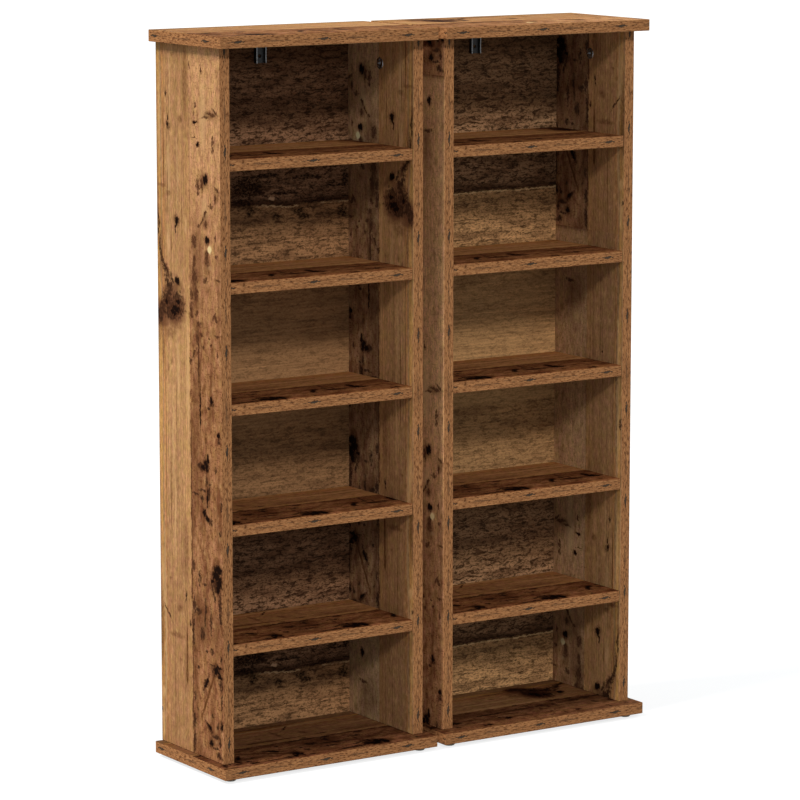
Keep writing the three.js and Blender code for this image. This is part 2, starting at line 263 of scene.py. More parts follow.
# Marks: place across, place along, half width, half length and, where a mark slants, its turn
BLACK_MARKS = (
    (49, 679, 5.2, 6.4), (49, 602, 5.6, 5.4), (121, 736, 5.6, 6.6), (123, 660, 5.6, 5.2),
    (47, 567, 12, 3.8), (39, 562, 8, 3.4), (23, 573, 3.6, 5), (52, 577, 6, 2.6),
    (104.5, 446, 1.7, 24), (132, 461, 4, 4.6), (118, 378, 5.4, 7.4), (110, 374, 6, 2.6),
    (122, 384, 3, 6), (148, 418, 3, 4), (121, 336, 2, 12), (112, 316, 4.4, 5.6),
    (119, 309, 6, 3.4, -30), (145, 248, 11, 5), (141, 240, 10, 6), (148, 233, 7, 9),
    (144, 223, 5, 7), (131, 231, 5, 3, 30), (139, 118, 5, 5), (147, 122, 6, 2.4),
    (148, 111, 5, 2.6), (145, 116, 7, 2, -30), (126, 23, 5.2, 5.2), (122, 1188, 3.8, 5.2),
    (28, 799, 2.4, 3.4), (28, 806, 1.2, 4), (102, 778, 2.0, 2.2), (96, 806, 4.4, 1.4),
    (114, 98, 2.4, 11, -30), (152, 48, 2.6, 4), (121, 42, 7, 2, -30),
)
DARK_MARKS = (
    (25, 836, 3.2, 5.4), (30, 796, 4.4, 5), (46, 668, 1.8, 6.5), (40, 567, 26, 12),
    (24, 576, 14, 14), (50, 580, 12, 10), (33, 558, 19, 7), (7, 557, 8, 12), (13, 566, 6, 12),
    (30, 592, 8, 10), (24, 600, 5, 12, 30), (36, 606, 3, 8, 30), (20, 616, 4.6, 14, 30),
    (12, 630, 3.4, 13, 30), (7, 648, 2.4, 13), (4, 672, 2, 16), (19.5, 172, 1.3, 14.6, 45),
    (65, 200, 1.8, 8), (76, 168, 1.6, 7), (3, 969, 3, 8), (43, 1061, 2, 2), (3, 41, 3, 3),
    (84, 874, 1.8, 5), (112, 870, 1.6, 8), (97, 828, 1.8, 4.5), (93, 816, 1.6, 4),
    (134, 817, 13, 2.6), (121, 812, 8, 2), (144, 821, 9, 2, -30), (96, 806, 6, 2.6),
    (103, 778, 4, 4), (95, 785, 7, 1.2), (139, 784, 3, 7), (139, 774, 3, 5), (112, 729, 4, 9),
    (102, 727, 4.6, 9), (103, 719, 4, 4), (148, 726, 7, 2.4, -30), (143, 714, 2.4, 6),
    (134, 703, 6, 3.4), (111, 684, 1.7, 8, -45), (119, 693, 4, 4), (104, 678, 3.4, 2.8),
    (121, 680, 5, 5), (92, 657, 7, 9), (92, 612, 8, 13), (93, 632, 4, 8), (124, 638, 5.6, 11),
    (147, 641, 3, 2.4), (145, 664, 2.4, 4), (149, 613, 6, 2.2), (119, 611, 6, 4), (86, 589, 4, 8),
    (96, 590, 6, 9), (139, 566, 2.4, 7, -30), (144, 566, 2.4, 7, 30), (85, 565, 4, 6),
    (91, 516, 2, 12.7, -45), (82, 506, 3.6, 3.6), (147, 543, 6, 2.4), (148, 520, 2, 3.6),
    (102, 552, 5, 3.4), (101, 512, 2.2, 36), (84, 574, 4, 7), (99, 566, 4, 4), (108, 541, 4, 2.4),
    (128, 537, 3, 2), (98, 536, 3, 8), (133, 530, 2, 2), (113, 526, 3, 2), (132, 460, 6, 7),
    (124, 451, 6, 2), (118, 378, 8, 10), (105, 374, 8, 5), (142, 373, 2, 4), (149, 416, 5, 8),
    (118, 358, 3, 8), (125, 345, 3, 12), (91, 338, 10, 1.8), (108, 343, 9, 1.9), (108, 334, 5, 4),
    (127, 306, 4, 4.6), (153, 330, 1.8, 7), (152, 295, 3, 3), (85, 245, 3, 7), (98, 230, 3.4, 9),
    (113, 225, 4, 2), (150, 203, 4, 20), (136, 213, 2, 9, 30), (127, 178, 2.8, 17),
    (113, 186, 2.8, 18), (96, 187, 8, 5), (106, 160, 6, 9), (139, 228, 14, 10), (86, 193, 3, 12),
    (83.5, 158, 3, 22), (150, 185, 5, 7), (115, 138, 2.4, 2.4), (128, 140, 5, 3),
    (131, 124, 8, 1.8), (150, 102, 5, 8), (151, 134, 2.4, 6), (112, 96, 5, 15, -30),
    (140, 118, 11, 8), (96, 114, 3, 3), (87, 76, 3, 6), (93, 60, 2.6, 2.6), (129, 57, 2.4, 2.4),
    (152, 82, 2, 17), (84, 45, 3.4, 12), (84, 16, 3.6, 14), (138, 33, 10, 2.4), (147, 25, 2.4, 8),
    (137, 17, 8, 2), (120, 42, 11, 3.4, -30), (141, 46, 3.4, 6), (151, 48, 4, 8), (146, 8, 8, 4),
    (117, 1150, 8, 3), (127, 1151, 1.8, 1.8),
)
BROWN_MARKS = (
    (40, 886, 3.4, 2.4), (60, 806, 8, 6), (3, 685, 3, 35), (12, 720, 14, 3), (30, 711, 7, 4),
    (38, 566, 36, 30), (12, 548, 16, 34), (25, 490, 3.4, 5), (26, 218, 3.4, 3), (41, 146, 24, 3.4),
    (50, 183, 10, 6), (148, 719, 9, 11), (134, 816, 18, 8), (99, 540, 9, 16), (124, 634, 10, 15),
    (119, 684, 12, 12), (86, 565, 6, 8), (108, 372, 12, 12), (91, 400, 15, 75), (94, 465, 10, 40),
    (94, 350, 12, 44), (11, 640, 6, 48), (14, 515, 5, 34), (52, 594, 14, 8), (40, 545, 28, 7),
    (30, 536, 22, 8), (66, 262, 9, 48), (141, 165, 11, 34), (100, 640, 18, 50), (122, 632, 12, 20),
    (86, 320, 7, 60), (94, 378, 14, 34), (95, 10, 14, 20), (90, 62, 7, 40), (134, 990, 5, 8),
    (105, 1133, 27, 30), (118, 734, 16, 13), (142, 236, 20, 24), (138, 118, 20, 17),
    (106, 172, 24, 44), (138, 30, 16, 16), (120, 345, 10, 34), (152, 590, 5, 70), (72, 855, 8, 60),
    (102, 468, 6, 50), (8, 560, 16, 30), (88, 110, 8, 60), (94, 608, 13, 36), (3, 128, 7, 28),
    (4, 160, 7, 60), (98, 580, 12, 14), (57, 442, 2, 2), (35, 531, 3, 6, 30), (34, 499, 3, 6),
    (30, 366, 3, 1.5), (51, 117, 2, 2),
)
PALE_MARKS = (
    (13, 165, 3.4, 140), (30, 735, 6, 50), (116, 815, 11, 50), (118, 700, 10, 18),
    (73, 674, 3.6, 13), (74, 480, 4.4, 110), (6, 66, 7, 8), (128, 627, 6, 4), (40, 300, 3, 60),
    (7, 210, 5, 50), (36, 400, 3, 80), (139, 26, 5, 3.4), (28, 650, 4, 24), (5, 30, 4, 30),
    (50, 490, 4, 60), (8, 812, 4, 80), (8, 1000, 4, 120), (52, 735, 2, 60), (34, 850, 2, 50),
)
CHIP_MARKS = ((131, 650, 5.2, 5.6),)
KNOT_MARKS = (
    (38, 567, 30, 18), (36, 555, 28, 9), (10, 556, 15, 16), (14, 549, 16, 8), (32, 590, 17, 14),
    (26, 612, 5, 13, 30), (10, 562, 13, 14), (56, 572, 14, 14),
)

# Straight fine cracks and scratches, given the same way
LINE_MARKS = (
    (66.4, 98, 2.8, 11), (66.9, 128, 1.9, 40), (119, 83, 2.2, 39, -28), (35, 650, 0.8, 12),
    (27, 720, 0.8, 30), (17.5, 760, 0.9, 60), (62, 690, 0.5, 26), (45, 420, 0.5, 50),
    (30, 330, 0.6, 60), (55, 250, 0.5, 60), (36, 60, 0.5, 60),
)

# The kinds of marks, each with how far out it still shows, as a share of its half size
WOOD_MARKS = (
    (PALE_MARKS, 1.2), (CHIP_MARKS, 1.2), (KNOT_MARKS, 1.3), (LINE_MARKS, 1.2), (BROWN_MARKS, 1.2),
    (DARK_MARKS, 1.4), (BLACK_MARKS, 1.7),
)

# Tones of the two planks along the repeat, and stripes across the rear one up to the seam
REAR_TONES = (
    (0.0, (181, 132, 88)), (0.16, (179, 130, 87)), (0.22, (192, 142, 96)), (0.37, (200, 150, 101)),
    (0.44, (197, 147, 98)), (0.50, (188, 139, 93)), (0.74, (186, 137, 91)), (0.80, (180, 134, 92)),
    (1.0, (175, 129, 88)),
)
FRONT_TONES = (
    (0.0, (158, 108, 71)), (0.09, (160, 110, 72)), (0.13, (152, 104, 68)), (0.21, (163, 113, 75)),
    (0.34, (157, 108, 70)), (0.44, (163, 114, 75)), (0.50, (174, 124, 83)), (0.57, (184, 133, 90)),
    (0.62, (196, 145, 99)), (0.74, (199, 148, 101)), (0.82, (188, 139, 94)),
    (0.995, (184, 135, 91)), (1.0, (112, 72, 46)),
)
STRIPES = (
    (0.0, (208, 214, 216)), (0.03, (236, 232, 214)), (0.06, (255, 255, 222)),
    (0.10, (255, 250, 214)), (0.125, (214, 226, 230)), (0.155, (224, 230, 236)),
    (0.18, (246, 232, 220)), (0.22, (250, 240, 224)), (0.235, (206, 202, 196)),
    (0.26, (244, 240, 236)), (0.34, (240, 240, 240)), (0.42, (232, 232, 232)),
    (0.50, (242, 242, 240)), (0.58, (230, 230, 230)), (0.70, (240, 240, 238)),
    (0.82, (232, 232, 230)), (0.90, (244, 244, 236)),
)
STRIPE_SWAY = 3
STRIPE_STRENGTH = 0.9

# Noise: size of its marks across and along, detail, roughness and seed
WOOD_NOISE = {
    "broad": (18, 100, 2.0, 0.5, 1.3),
    "lines": (3.4, 240, 3.0, 0.66, 4.2),
    "fine": (2.2, 9, 3.0, 0.66, 9.9),
    "sway": (34, 420, 1.0, 0.5, 3.7),
    "blots": (8.0, 17, 3.0, 0.6, 6.4),
    "level": (7.5, 1.8, 2.0, 0.6, 2.8),
    "crumbs": (3.2, 5.0, 3.0, 0.7, 5.5),
    "cast": (9, 15, 2.0, 0.6, 8.1),
}

# Waves that make marks ragged: their size, reach and seed
WOOD_WAVES = ((6.0, 2.0, 3.1), (24.0, 2.6, 8.7))

# The seam: how far it sways and crumbles, how soft it is, and how far in front its gap lies
SEAM_SWAY = 1.2
SEAM_CRUMBLE = 0.7
SEAM_SOFTNESS = 0.8
GAP_ASIDE = 1.2

# Looks: the values where a tone begins and is full, the tone and, if even, its strength
WOOD_LOOKS = {
    "light": (0.46, 0.28, shade(216, 168, 116), 0.24),
    "pits": (0.60, 0.68, shade(112, 68, 40)),
    "pale": (1.2, 0.3, shade(218, 173, 121), 0.42),
    "line": (1.3, 0.7, shade(92, 54, 27)),
    "brown": (1.2, 0.3, shade(98, 58, 35)),
    "knot": (1.25, 0.6, shade(104, 62, 43), 0.72),
    "halo": (1.7, 1.0, shade(84, 48, 28), 0.5),
    "black": (1.2, 0.7, shade(28, 16, 11)),
    "chip": (1.1, 0.6, shade(232, 205, 148), 0.9),
    "gap": (2.6, 0.4, shade(66, 36, 22)),
}
DARK_EDGE = (1.3, 0.55)
DARK_STRENGTH = 0.95
DARK_TONE = shade(54, 33, 22)
UP_FRONT_TONE = shade(78, 46, 29)

# Strengths that change: the range of the value that changes them, and the strengths at its ends
FRONT_AGE = (0.40, 0.54, 1.0, 0.35)
LINE_BREAKS = (0.35, 0.6, 0.7, 0.95)
BROWN_BREAKS = (0.35, 0.65, 0.7, 0.3)
DARK_BREAKS = (0.40, 0.56, 0.72, 1.0)
GAP_FADES = (0.38, 0.30, 0.15, 0.7)
UP_FRONT = (0.38, 0.44)

# Strengths on the rear plank and on the front one
STREAK_SHARES = (1.0, 0.6)
PIT_SHARES = (0.15, 0.5)
RING_SHARES = (0.06, 0)

# Mottling by the broad noise, the blots and the level one: where each begins and is full, its tone,
# how much age adds and how much there is without
MOTTLES = ((0.5, 0.8), (0.5, 0.72), (0.56, 0.7))
MOTTLE_TONE = shade(96, 54, 31)
MOTTLE_DEPTH = (0.55, 0.14)

# Grain: reach of the streaks, range of the fine marks, and the growth lines' pitch and sway
STREAK_REACH = 0.17
FINE_RANGE = (0.74, 1.26)
RING_PITCH = 5.4
RING_SWAY = 22.0

# How far the print's tone wanders in red, green and blue
CAST_REACH = (0.025, -0.035, 0.07)

# Raggedness of outlines from crumbs and fine marks, and its shares on black marks and knots
ROUGH_CRUMBS = 0.4
ROUGH_FINE = 0.2
BLACK_ROUGHNESS = 0.8
KNOT_ROUGHNESS = 0.5


def old_wood():
    """The decor as a group: from a place in the print, its colour and the height of its grain."""
    group, tree, spot, leave = new_print("old_wood")
    across, along, _ = tree.parts(spot)
    turn = tree.math("WRAP", along, REPEAT, 0.0)
    share = tree.math("DIVIDE", turn, REPEAT)
    place = tree.join(across, turn)
    ragged = place
    for waves in WOOD_WAVES:
        ragged = tree.warp(ragged, *waves)

    broad, lines, fine, sway = tree.noises(place, WOOD_NOISE, "broad", "lines", "fine", "sway")
    blots, level = tree.noises(ragged, WOOD_NOISE, "blots", "level")
    crumbs = tree.noise(place, *WOOD_NOISE["crumbs"])

    # The two planks, the rear one with stripes along its rear edge
    rear = tree.ramp(share, REAR_TONES)
    front = tree.ramp(share, FRONT_TONES)
    swayed = tree.math("ADD", across, tree.swing(broad, -STRIPE_SWAY, STRIPE_SWAY, WIDE_NOISE))
    stripes = tree.ramp(tree.math("DIVIDE", swayed, SEAM), STRIPES)
    rear = tree.mix(STRIPE_STRENGTH, rear, stripes, "MULTIPLY")
    seam_line = tree.math("ADD", across, tree.swing(blots, -SEAM_SWAY, SEAM_SWAY))
    seam_line = tree.math("ADD", seam_line, tree.swing(crumbs, -SEAM_CRUMBLE, SEAM_CRUMBLE))
    plank = tree.remap(seam_line, SEAM - SEAM_SOFTNESS, SEAM + SEAM_SOFTNESS)
    colour = tree.mix(plank, rear, front)

    # Mottling and short level dashes, stronger on the front plank
    old = tree.math("MULTIPLY", plank, tree.remap(share, *FRONT_AGE))
    depth = tree.math("MULTIPLY_ADD", old, *MOTTLE_DEPTH)
    for pattern, edge in zip((broad, blots, level), MOTTLES):
        colour = tree.draw(colour, pattern, *edge, MOTTLE_TONE, depth)
    colour = tree.draw(colour, blots, *WOOD_LOOKS["light"])

    # Streaks, fine grain and growth lines
    streaks = tree.math("MULTIPLY", tree.swing(lines, -STREAK_REACH, STREAK_REACH),
                        tree.between(plank, *STREAK_SHARES))
    grain = tree.math("ADD", streaks, tree.swing(fine, *FINE_RANGE))
    rings = tree.math("SINE", tree.math("MULTIPLY_ADD", across, 2 * math.pi / RING_PITCH,
                                        tree.math("MULTIPLY", sway, RING_SWAY)))
    grain = tree.math("MULTIPLY_ADD", rings, tree.between(plank, *RING_SHARES), grain)
    colour = tree.dim(colour, grain)

    colour = tree.draw(colour, crumbs, *WOOD_LOOKS["pits"], tree.between(plank, *PIT_SHARES))
    cast = tree.swing(tree.noise(place, *WOOD_NOISE["cast"]), -1, 1)
    casts = [tree.math("MULTIPLY_ADD", cast, reach, 1) for reach in CAST_REACH]
    colour = tree.vector("MULTIPLY", colour, tree.join(*casts))

    # Marks, from the palest to the blackest, and the chips over them
    pale, chip, knot, thin, brown, dark, black = [
        tree.nearness(place if marks is LINE_MARKS else ragged, marks, REPEAT, reach)
        for marks, reach in WOOD_MARKS]
    rough = tree.math("ADD", tree.swing(crumbs, ROUGH_CRUMBS, -ROUGH_CRUMBS),
                      tree.swing(fine, ROUGH_FINE, -ROUGH_FINE))
    dark = tree.math("ADD", dark, rough)
    black = tree.math("MULTIPLY_ADD", rough, BLACK_ROUGHNESS, black)
    line_strength = tree.remap(crumbs, *LINE_BREAKS)
    dark_strength = tree.remap(crumbs, *DARK_BREAKS)
    colour = tree.draw(colour, pale, *WOOD_LOOKS["pale"])
    colour = tree.draw(colour, thin, *WOOD_LOOKS["line"], line_strength)
    brown_strength = tree.remap(crumbs, *BROWN_BREAKS, soft=False)
    colour = tree.draw(colour, brown, *WOOD_LOOKS["brown"], brown_strength)
    knot = tree.math("MULTIPLY_ADD", rough, KNOT_ROUGHNESS, knot)
    colour = tree.draw(colour, knot, *WOOD_LOOKS["knot"])
    darkness = tree.math("MULTIPLY", tree.remap(dark, *DARK_EDGE), dark_strength)
    up_front = tree.math("MULTIPLY", plank, tree.remap(share, *UP_FRONT))
    dark_tone = tree.mix(up_front, DARK_TONE, UP_FRONT_TONE)
    colour = tree.mix(tree.math("MULTIPLY", darkness, DARK_STRENGTH), colour, dark_tone)
    colour = tree.draw(colour, black, *WOOD_LOOKS["halo"])
    colour = tree.draw(colour, black, *WOOD_LOOKS["black"])
    colour = tree.draw(colour, chip, *WOOD_LOOKS["chip"])

    # Gap between the planks
    from_gap = tree.away(seam_line, SEAM + GAP_ASIDE)
    colour = tree.draw(colour, from_gap, *WOOD_LOOKS["gap"], tree.remap(share, *GAP_FADES))

    tree.feed(leave["Colour"], colour)
    tree.feed(leave["Height"], lines)
    return group


# Banding: marks are given across from the band's middle and along its repeat, and the lead is how
# far into the repeat the print starts
BAND_REPEAT = 124.4
BAND_LEAD = 46.0
BAND_BLOTS = (
    (0.1, 45.6, 1.5, 3.9), (0.7, 49.2, 1.2, 2.4), (-0.7, 42.2, 1.1, 2.4), (0.6, 37.6, 0.6, 2.0),
    (-0.5, 53.6, 0.6, 2.0),
)
BAND_DASHES = (
    (1.2, 68, 0.8, 3), (-1.2, 96, 1.1, 17), (2, 88, 0.7, 4), (-3.4, 32, 0.8, 4), (2.6, 8, 0.7, 5),
    (0.4, 19, 0.6, 3.4), (-2.4, 117, 0.8, 5),
)
BLOT_REACH = 1.7
DASH_REACH = 1.3
BAND_WAVES = (2.8, 0.9, 5.5)
BAND_NOISE = {
    "lines": (0.9, 26, 3.0, 0.6, 3.3),
    "fine": (0.6, 7, 3.0, 0.6, 7.1),
    "dashes": (1.4, 6.4, 3.0, 0.66, 1.7),
    "broad": (5.0, 45, 1.0, 0.5, 8.2),
}
BAND_TONES = (shade(158, 108, 69), shade(176, 122, 78))
BAND_LINES = (0.84, 1.12)
BAND_FINE = (-0.12, 0.1)
BAND_LOOKS = {
    "dark": (0.52, 0.64, shade(88, 50, 29), 0.85),
    "light": (0.45, 0.30, shade(200, 146, 96), 0.5),
    "dash": (1.3, 0.6, shade(84, 62, 46), 0.6),
}

# A blot is drawn in three coats: a brown rim, the dark smear and its greyer core
BLOT_COATS = (
    (1.6, 1.1, shade(84, 58, 42), 0.45), (1.2, 0.9, shade(44, 37, 31), 0.85),
    (0.8, 0.4, shade(84, 80, 72), 0.5),
)

# Relief of the banding's and the back panels' grain, as a share of the old wood's
LOW_RELIEF = 0.5


def banding():
    """The print on the banded edges as a group, from a place across and along the band."""
    group, tree, whole, leave = new_print("banding")
    across, along, _ = tree.parts(whole)
    turn = tree.math("WRAP", tree.math("ADD", along, BAND_LEAD), BAND_REPEAT, 0.0)
    ragged = tree.warp(tree.join(across, turn), *BAND_WAVES)
    lines, fine, dashes, broad = tree.noises(whole, BAND_NOISE, "lines", "fine", "dashes", "broad")
    colour = tree.mix(tree.remap(broad, *USUAL_NOISE), *BAND_TONES)
    colour = tree.draw(colour, dashes, *BAND_LOOKS["dark"])
    colour = tree.draw(colour, dashes, *BAND_LOOKS["light"])
    grain = tree.math("ADD", tree.swing(lines, *BAND_LINES), tree.swing(fine, *BAND_FINE))
    colour = tree.dim(colour, grain)
    dash = tree.nearness(ragged, BAND_DASHES, BAND_REPEAT, DASH_REACH)
    blot = tree.nearness(ragged, BAND_BLOTS, BAND_REPEAT, BLOT_REACH)
    colour = tree.draw(colour, dash, *BAND_LOOKS["dash"])
    for coat in BLOT_COATS:
        colour = tree.draw(colour, blot, *coat)
    tree.feed(leave["Colour"], colour)
    tree.feed(leave["Height"], tree.math("MULTIPLY", grain, LOW_RELIEF))
    return group


# Back panels: level planks that repeat up the panel. Marks are given along and up.
BACK_REPEAT = 614.0
BACK_MARKS = (
    (112, 75, 15, 6), (116, 94, 24, 15), (223, 72, 24, 1.4), (243, 90, 25, 1.8), (265, 98, 4, 12),
    (121, 63, 7, 5.5), (160, 54, 6.5, 5), (193, 60, 7, 5), (203, 52, 10, 4), (260, 56, 7, 9),
    (146, 108, 20, 3), (172, 84, 20, 2.4), (205, 104, 20, 3), (40, 76, 28, 5), (62, 92, 24, 2.6),
)
BACK_FLECKS = ((153, 78, 5, 2.2), (52, 63, 6, 1.4))
BACK_REACH = 1.5
BACK_WAVES = (14.0, 3.0, 4.4)
CRUMBLE_WAVES = (7.0, 2.0, 6.2)
BACK_NOISE = {
    "edge": (70, 400, 3.0, 0.5, 2.2),
    "crumbs": (6.0, 3.4, 3.0, 0.72, 6.1),
    "broad": (60, 14, 2.0, 0.5, 5.8),
    "blots": (16, 4.4, 4.0, 0.76, 9.3),
    "lines": (90, 2.6, 3.0, 0.6, 1.9),
    "specks": (4.0, 2.8, 3.0, 0.74, 7.7),
    "cracked": (46, 12, 3.0, 0.62, 3.4),
}
BACK_GRAIN = (0.80, 1.20)

# How far the planks' edges sway and crumble
BACK_SWAY = 2.4
BACK_CRUMBLE = 1.3

# Tones up the repeat, and how worn the print is there, as a grey from 0 to 255. The darker tones
# from 0.305 to 0.475 are partly print and partly a painted shade of the cases in the upper
# compartment and of the top board over it, which repeats with the print
BACK_TONES_AND_SHADE = (
    (0.0, (180, 134, 92)), (0.112, (178, 132, 90)), (0.1145, (46, 30, 21)), (0.119, (84, 56, 40)),
    (0.132, (154, 114, 84)), (0.26, (156, 116, 85)), (0.305, (132, 96, 68)), (0.34, (150, 110, 80)),
    (0.385, (156, 116, 85)), (0.425, (110, 78, 54)), (0.475, (112, 80, 56)),
    (0.482, (186, 144, 100)), (0.488, (160, 120, 82)), (0.635, (164, 122, 82)),
    (0.65, (174, 132, 90)), (0.885, (170, 127, 86)), (1.0, (168, 124, 84)),
)
BACK_WEAR = (
    (0.0, 226), (0.109, 222), (0.120, 255), (0.30, 250), (0.475, 240), (0.485, 190), (0.635, 190),
    (0.65, 150), (0.90, 160), (1.0, 226),
)

# Worn patterns in the order of drawing: broad stains, blots, specks, cracks along the middle of a
# noise and holes at its low end. Each has the values where it begins and is full, strength and tone.
CRACK_MIDDLE = 0.5
BACK_LOOKS = (
    (0.42, 0.72, 0.7, shade(94, 63, 43)), (0.52, 0.60, 0.86, shade(40, 24, 15)),
    (0.53, 0.62, 0.7, shade(46, 28, 18)), (0.030, 0.010, 0.55, shade(46, 28, 18)),
    (0.36, 0.29, 0.8, shade(54, 33, 21)),
)
BURNT_LOOK = (1.4, 0.6, shade(30, 17, 11))
BURNT_BREAKS = (0.40, 0.56, 0.35, 0.95)
FLECK_LOOK = (1.3, 0.7, shade(224, 178, 138), 0.8)

# A painted highlight along a plank's upper edge: its place up, its fades, how it breaks up, its
# tone, where it starts, and the middle and the ends of its gap
CREST = 68.2
CREST_EDGES = (1.3, 0.5)
CREST_BREAKS = (0.40, 0.52, 0.15, 0.8)
CREST_HIGHLIGHT_TONE = shade(222, 180, 132)
CREST_START = (127, 135)
CREST_GAP = 210
CREST_GAP_ENDS = (14, 20)


def back_print():
    """The back panels' print as a group, from a place along and up the panel."""
    group, tree, spot, leave = new_print("level_planks")
    along, up, _ = tree.parts(spot)
    turn = tree.math("WRAP", up, BACK_REPEAT, 0.0)
    place = tree.join(along, turn)
    ragged = tree.warp(place, *BACK_WAVES)
    edge, crumbs = tree.noises(place, BACK_NOISE, "edge", "crumbs")
    wavy = tree.math("ADD", turn, tree.swing(edge, -BACK_SWAY, BACK_SWAY, WIDE_NOISE))
    wavy = tree.math("ADD", wavy, tree.swing(crumbs, -BACK_CRUMBLE, BACK_CRUMBLE))
    share = tree.math("DIVIDE", wavy, BACK_REPEAT)
    broad, blots = tree.noises(ragged, BACK_NOISE, "broad", "blots")
    lines, specks = tree.noises(place, BACK_NOISE, "lines", "specks")
    cracked = tree.noise(ragged, *BACK_NOISE["cracked"])
    colour = tree.ramp(share, BACK_TONES_AND_SHADE)
    wear = tree.ramp(share, [(position, (grey,) * 3) for position, grey in BACK_WEAR])
    crack = tree.away(cracked, CRACK_MIDDLE)
    patterns = (broad, blots, specks, crack, cracked)
    for pattern, (begin, full, strength, tone) in zip(patterns, BACK_LOOKS):
        amount = tree.math("MULTIPLY", tree.remap(pattern, begin, full, 0.0, strength), wear)
        colour = tree.mix(amount, colour, tone)
    grain = tree.swing(lines, *BACK_GRAIN)
    colour = tree.dim(colour, grain)

    # Burnt places and crumbled edges along the seam, and pale flecks
    crumbled = tree.warp(place, *CRUMBLE_WAVES)
    burnt = tree.nearness(crumbled, BACK_MARKS, BACK_REPEAT, BACK_REACH)
    colour = tree.draw(colour, burnt, *BURNT_LOOK, tree.remap(specks, *BURNT_BREAKS))
    fleck = tree.nearness(crumbled, BACK_FLECKS, BACK_REPEAT, BACK_REACH)
    colour = tree.draw(colour, fleck, *FLECK_LOOK)

    # Here and there a painted highlight, as if the light plank's upper edge caught the light
    from_crest = tree.away(wavy, CREST)
    from_gap = tree.away(along, CREST_GAP)
    crest_highlight = tree.remap(from_crest, *CREST_EDGES)
    for value, edges in ((cracked, CREST_BREAKS), (from_gap, CREST_GAP_ENDS), (along, CREST_START)):
        crest_highlight = tree.math("MULTIPLY", crest_highlight, tree.remap(value, *edges))
    colour = tree.mix(crest_highlight, colour, CREST_HIGHLIGHT_TONE)
    tree.feed(leave["Colour"], colour)
    tree.feed(leave["Height"], tree.math("MULTIPLY", grain, LOW_RELIEF))
    return group


OLD_WOOD = old_wood()
BANDING = banding()
LEVEL_PLANKS = back_print()

# Satin of the printed foil
FOIL_NOISE = (30, 30, 3.0, 0.6, 0.7)
FOIL_ROUGHNESS = (0.68, 0.82)
FOIL_SPECULAR = 0.004
GRAIN_STRENGTH = 0.5
GRAIN_RELIEF = 0.00012

# Where a surface's direction turns from one face to the other, from a board's front and rear to its
# ends, and from its faces to its edges
FACE_TURN = (-0.1, 0.1)
END_TURN = (0.5, 0.6)
EDGE_TURN = (0.6, 0.4)

# How soft the seam is where a cast of painted light changes, and how far the print moves on from
# shelf to shelf
PAINTED_LIGHT_SOFTNESS = 1
SHELF_SHIFT = 61.0

# Small pieces: detail, roughness and seed of a coarse and a fine noise, and depths of relief
COARSE_GRAIN = (3.0, 0.6, 2.0)
FINE_GRAIN = (2.0, 0.6, 5.0)
FINE_RELIEF = 0.00005
DOWEL_RELIEF = 0.0001

# Sizes of the coarse and of the fine marks on each small piece, across and along
METAL_SIZES = ((5, 5), (3, 0.25))
PAINT_SIZES = ((4, 4), (0.8, 1.6))
PLASTIC_SIZES = ((3, 3), (0.35, 0.35))
DOWEL_SIZES = ((0.7, 16), (0.5, 2.0))

# How far the wall bracket's flanges stand out from its back, and the painted highlight along
# their front edges, drawn as paint rubbed through
BRACKET_FLANGE = 6.0
HIGHLIGHT_EDGE = (0.9, 0.4)
HIGHLIGHT_BELOW_TOP = 1
HIGHLIGHT_BREAKS = (0.3, 0.6, 0.5, 1.0)
HIGHLIGHT_METALLIC = 0.6
PAINT_TONES = (shade(14, 16, 17), shade(24, 26, 27))
HIGHLIGHT_TONE = shade(162, 166, 168)
PAINT_ROUGHNESS = (0.48, 0.62)
PAINT_STRENGTH = 0.4

# Metal: how dark its clouds are, and how its roughness varies
METAL_DULL = 0.8
METAL_GLOSS = (-0.08, 0.1)

# Plastic: how light its scuffs are, where they show, roughness and relief
SCUFF_LIGHTER = 1.25
SCUFFS = (0.45, 0.75)
PLASTIC_ROUGHNESS = (0.45, 0.62)
PLASTIC_STRENGTH = 0.3

# Beech of the dowels: tones, flecks, roughness and relief
DOWEL_TONES = (shade(196, 160, 112), shade(222, 190, 144))
BEECH_FLECKS = (0.6, 0.75, shade(156, 112, 70), 0.5)
DOWEL_ROUGHNESS = (0.65, 0.8)
DOWEL_STRENGTH = 0.4


def bare_tree(owner):
    """The emptied node tree of a material or of the world."""
    owner.use_nodes = True
    owner.node_tree.nodes.clear()
    return Tree(owner.node_tree)


def new_material(name):
    """A new material with its tree and its shader."""
    material = bpy.data.materials.new(name)
    tree = bare_tree(material)
    shader = tree.add("BsdfPrincipled")
    output = tree.add("OutputMaterial")
    tree.feed(output.inputs["Surface"], shader.outputs[0])
    return material, tree, shader


def place_in_mm(tree):
    """The place in the frame in millimetres, and the surface's own direction."""
    source = tree.add("TexCoord").outputs
    spot = tree.add("VectorMath", source["Object"], operation="SCALE")
    tree.feed(spot.inputs["Scale"], 1 / MM)
    return spot.outputs[0], source["Normal"]


def print_of(tree, group, place):
    """The colour and the height of a print at a place in it."""
    node = tree.nodes.new("ShaderNodeGroup")
    node.node_tree = group
    tree.feed(node.inputs["Place"], place)
    return node.outputs["Colour"], node.outputs["Height"]


def surface(tree, shader, colour, roughness, height, strength, depth):
    """Gives a shader its colour, roughness and the relief of a height, to a depth in metres."""
    tree.feed(shader.inputs["Base Color"], colour)
    tree.feed(shader.inputs["Roughness"], roughness)
    bump = tree.add("Bump")
    bump.inputs["Strength"].default_value = strength
    bump.inputs["Distance"].default_value = depth
    tree.feed(bump.inputs["Height"], height)
    tree.feed(shader.inputs["Normal"], bump.outputs[0])


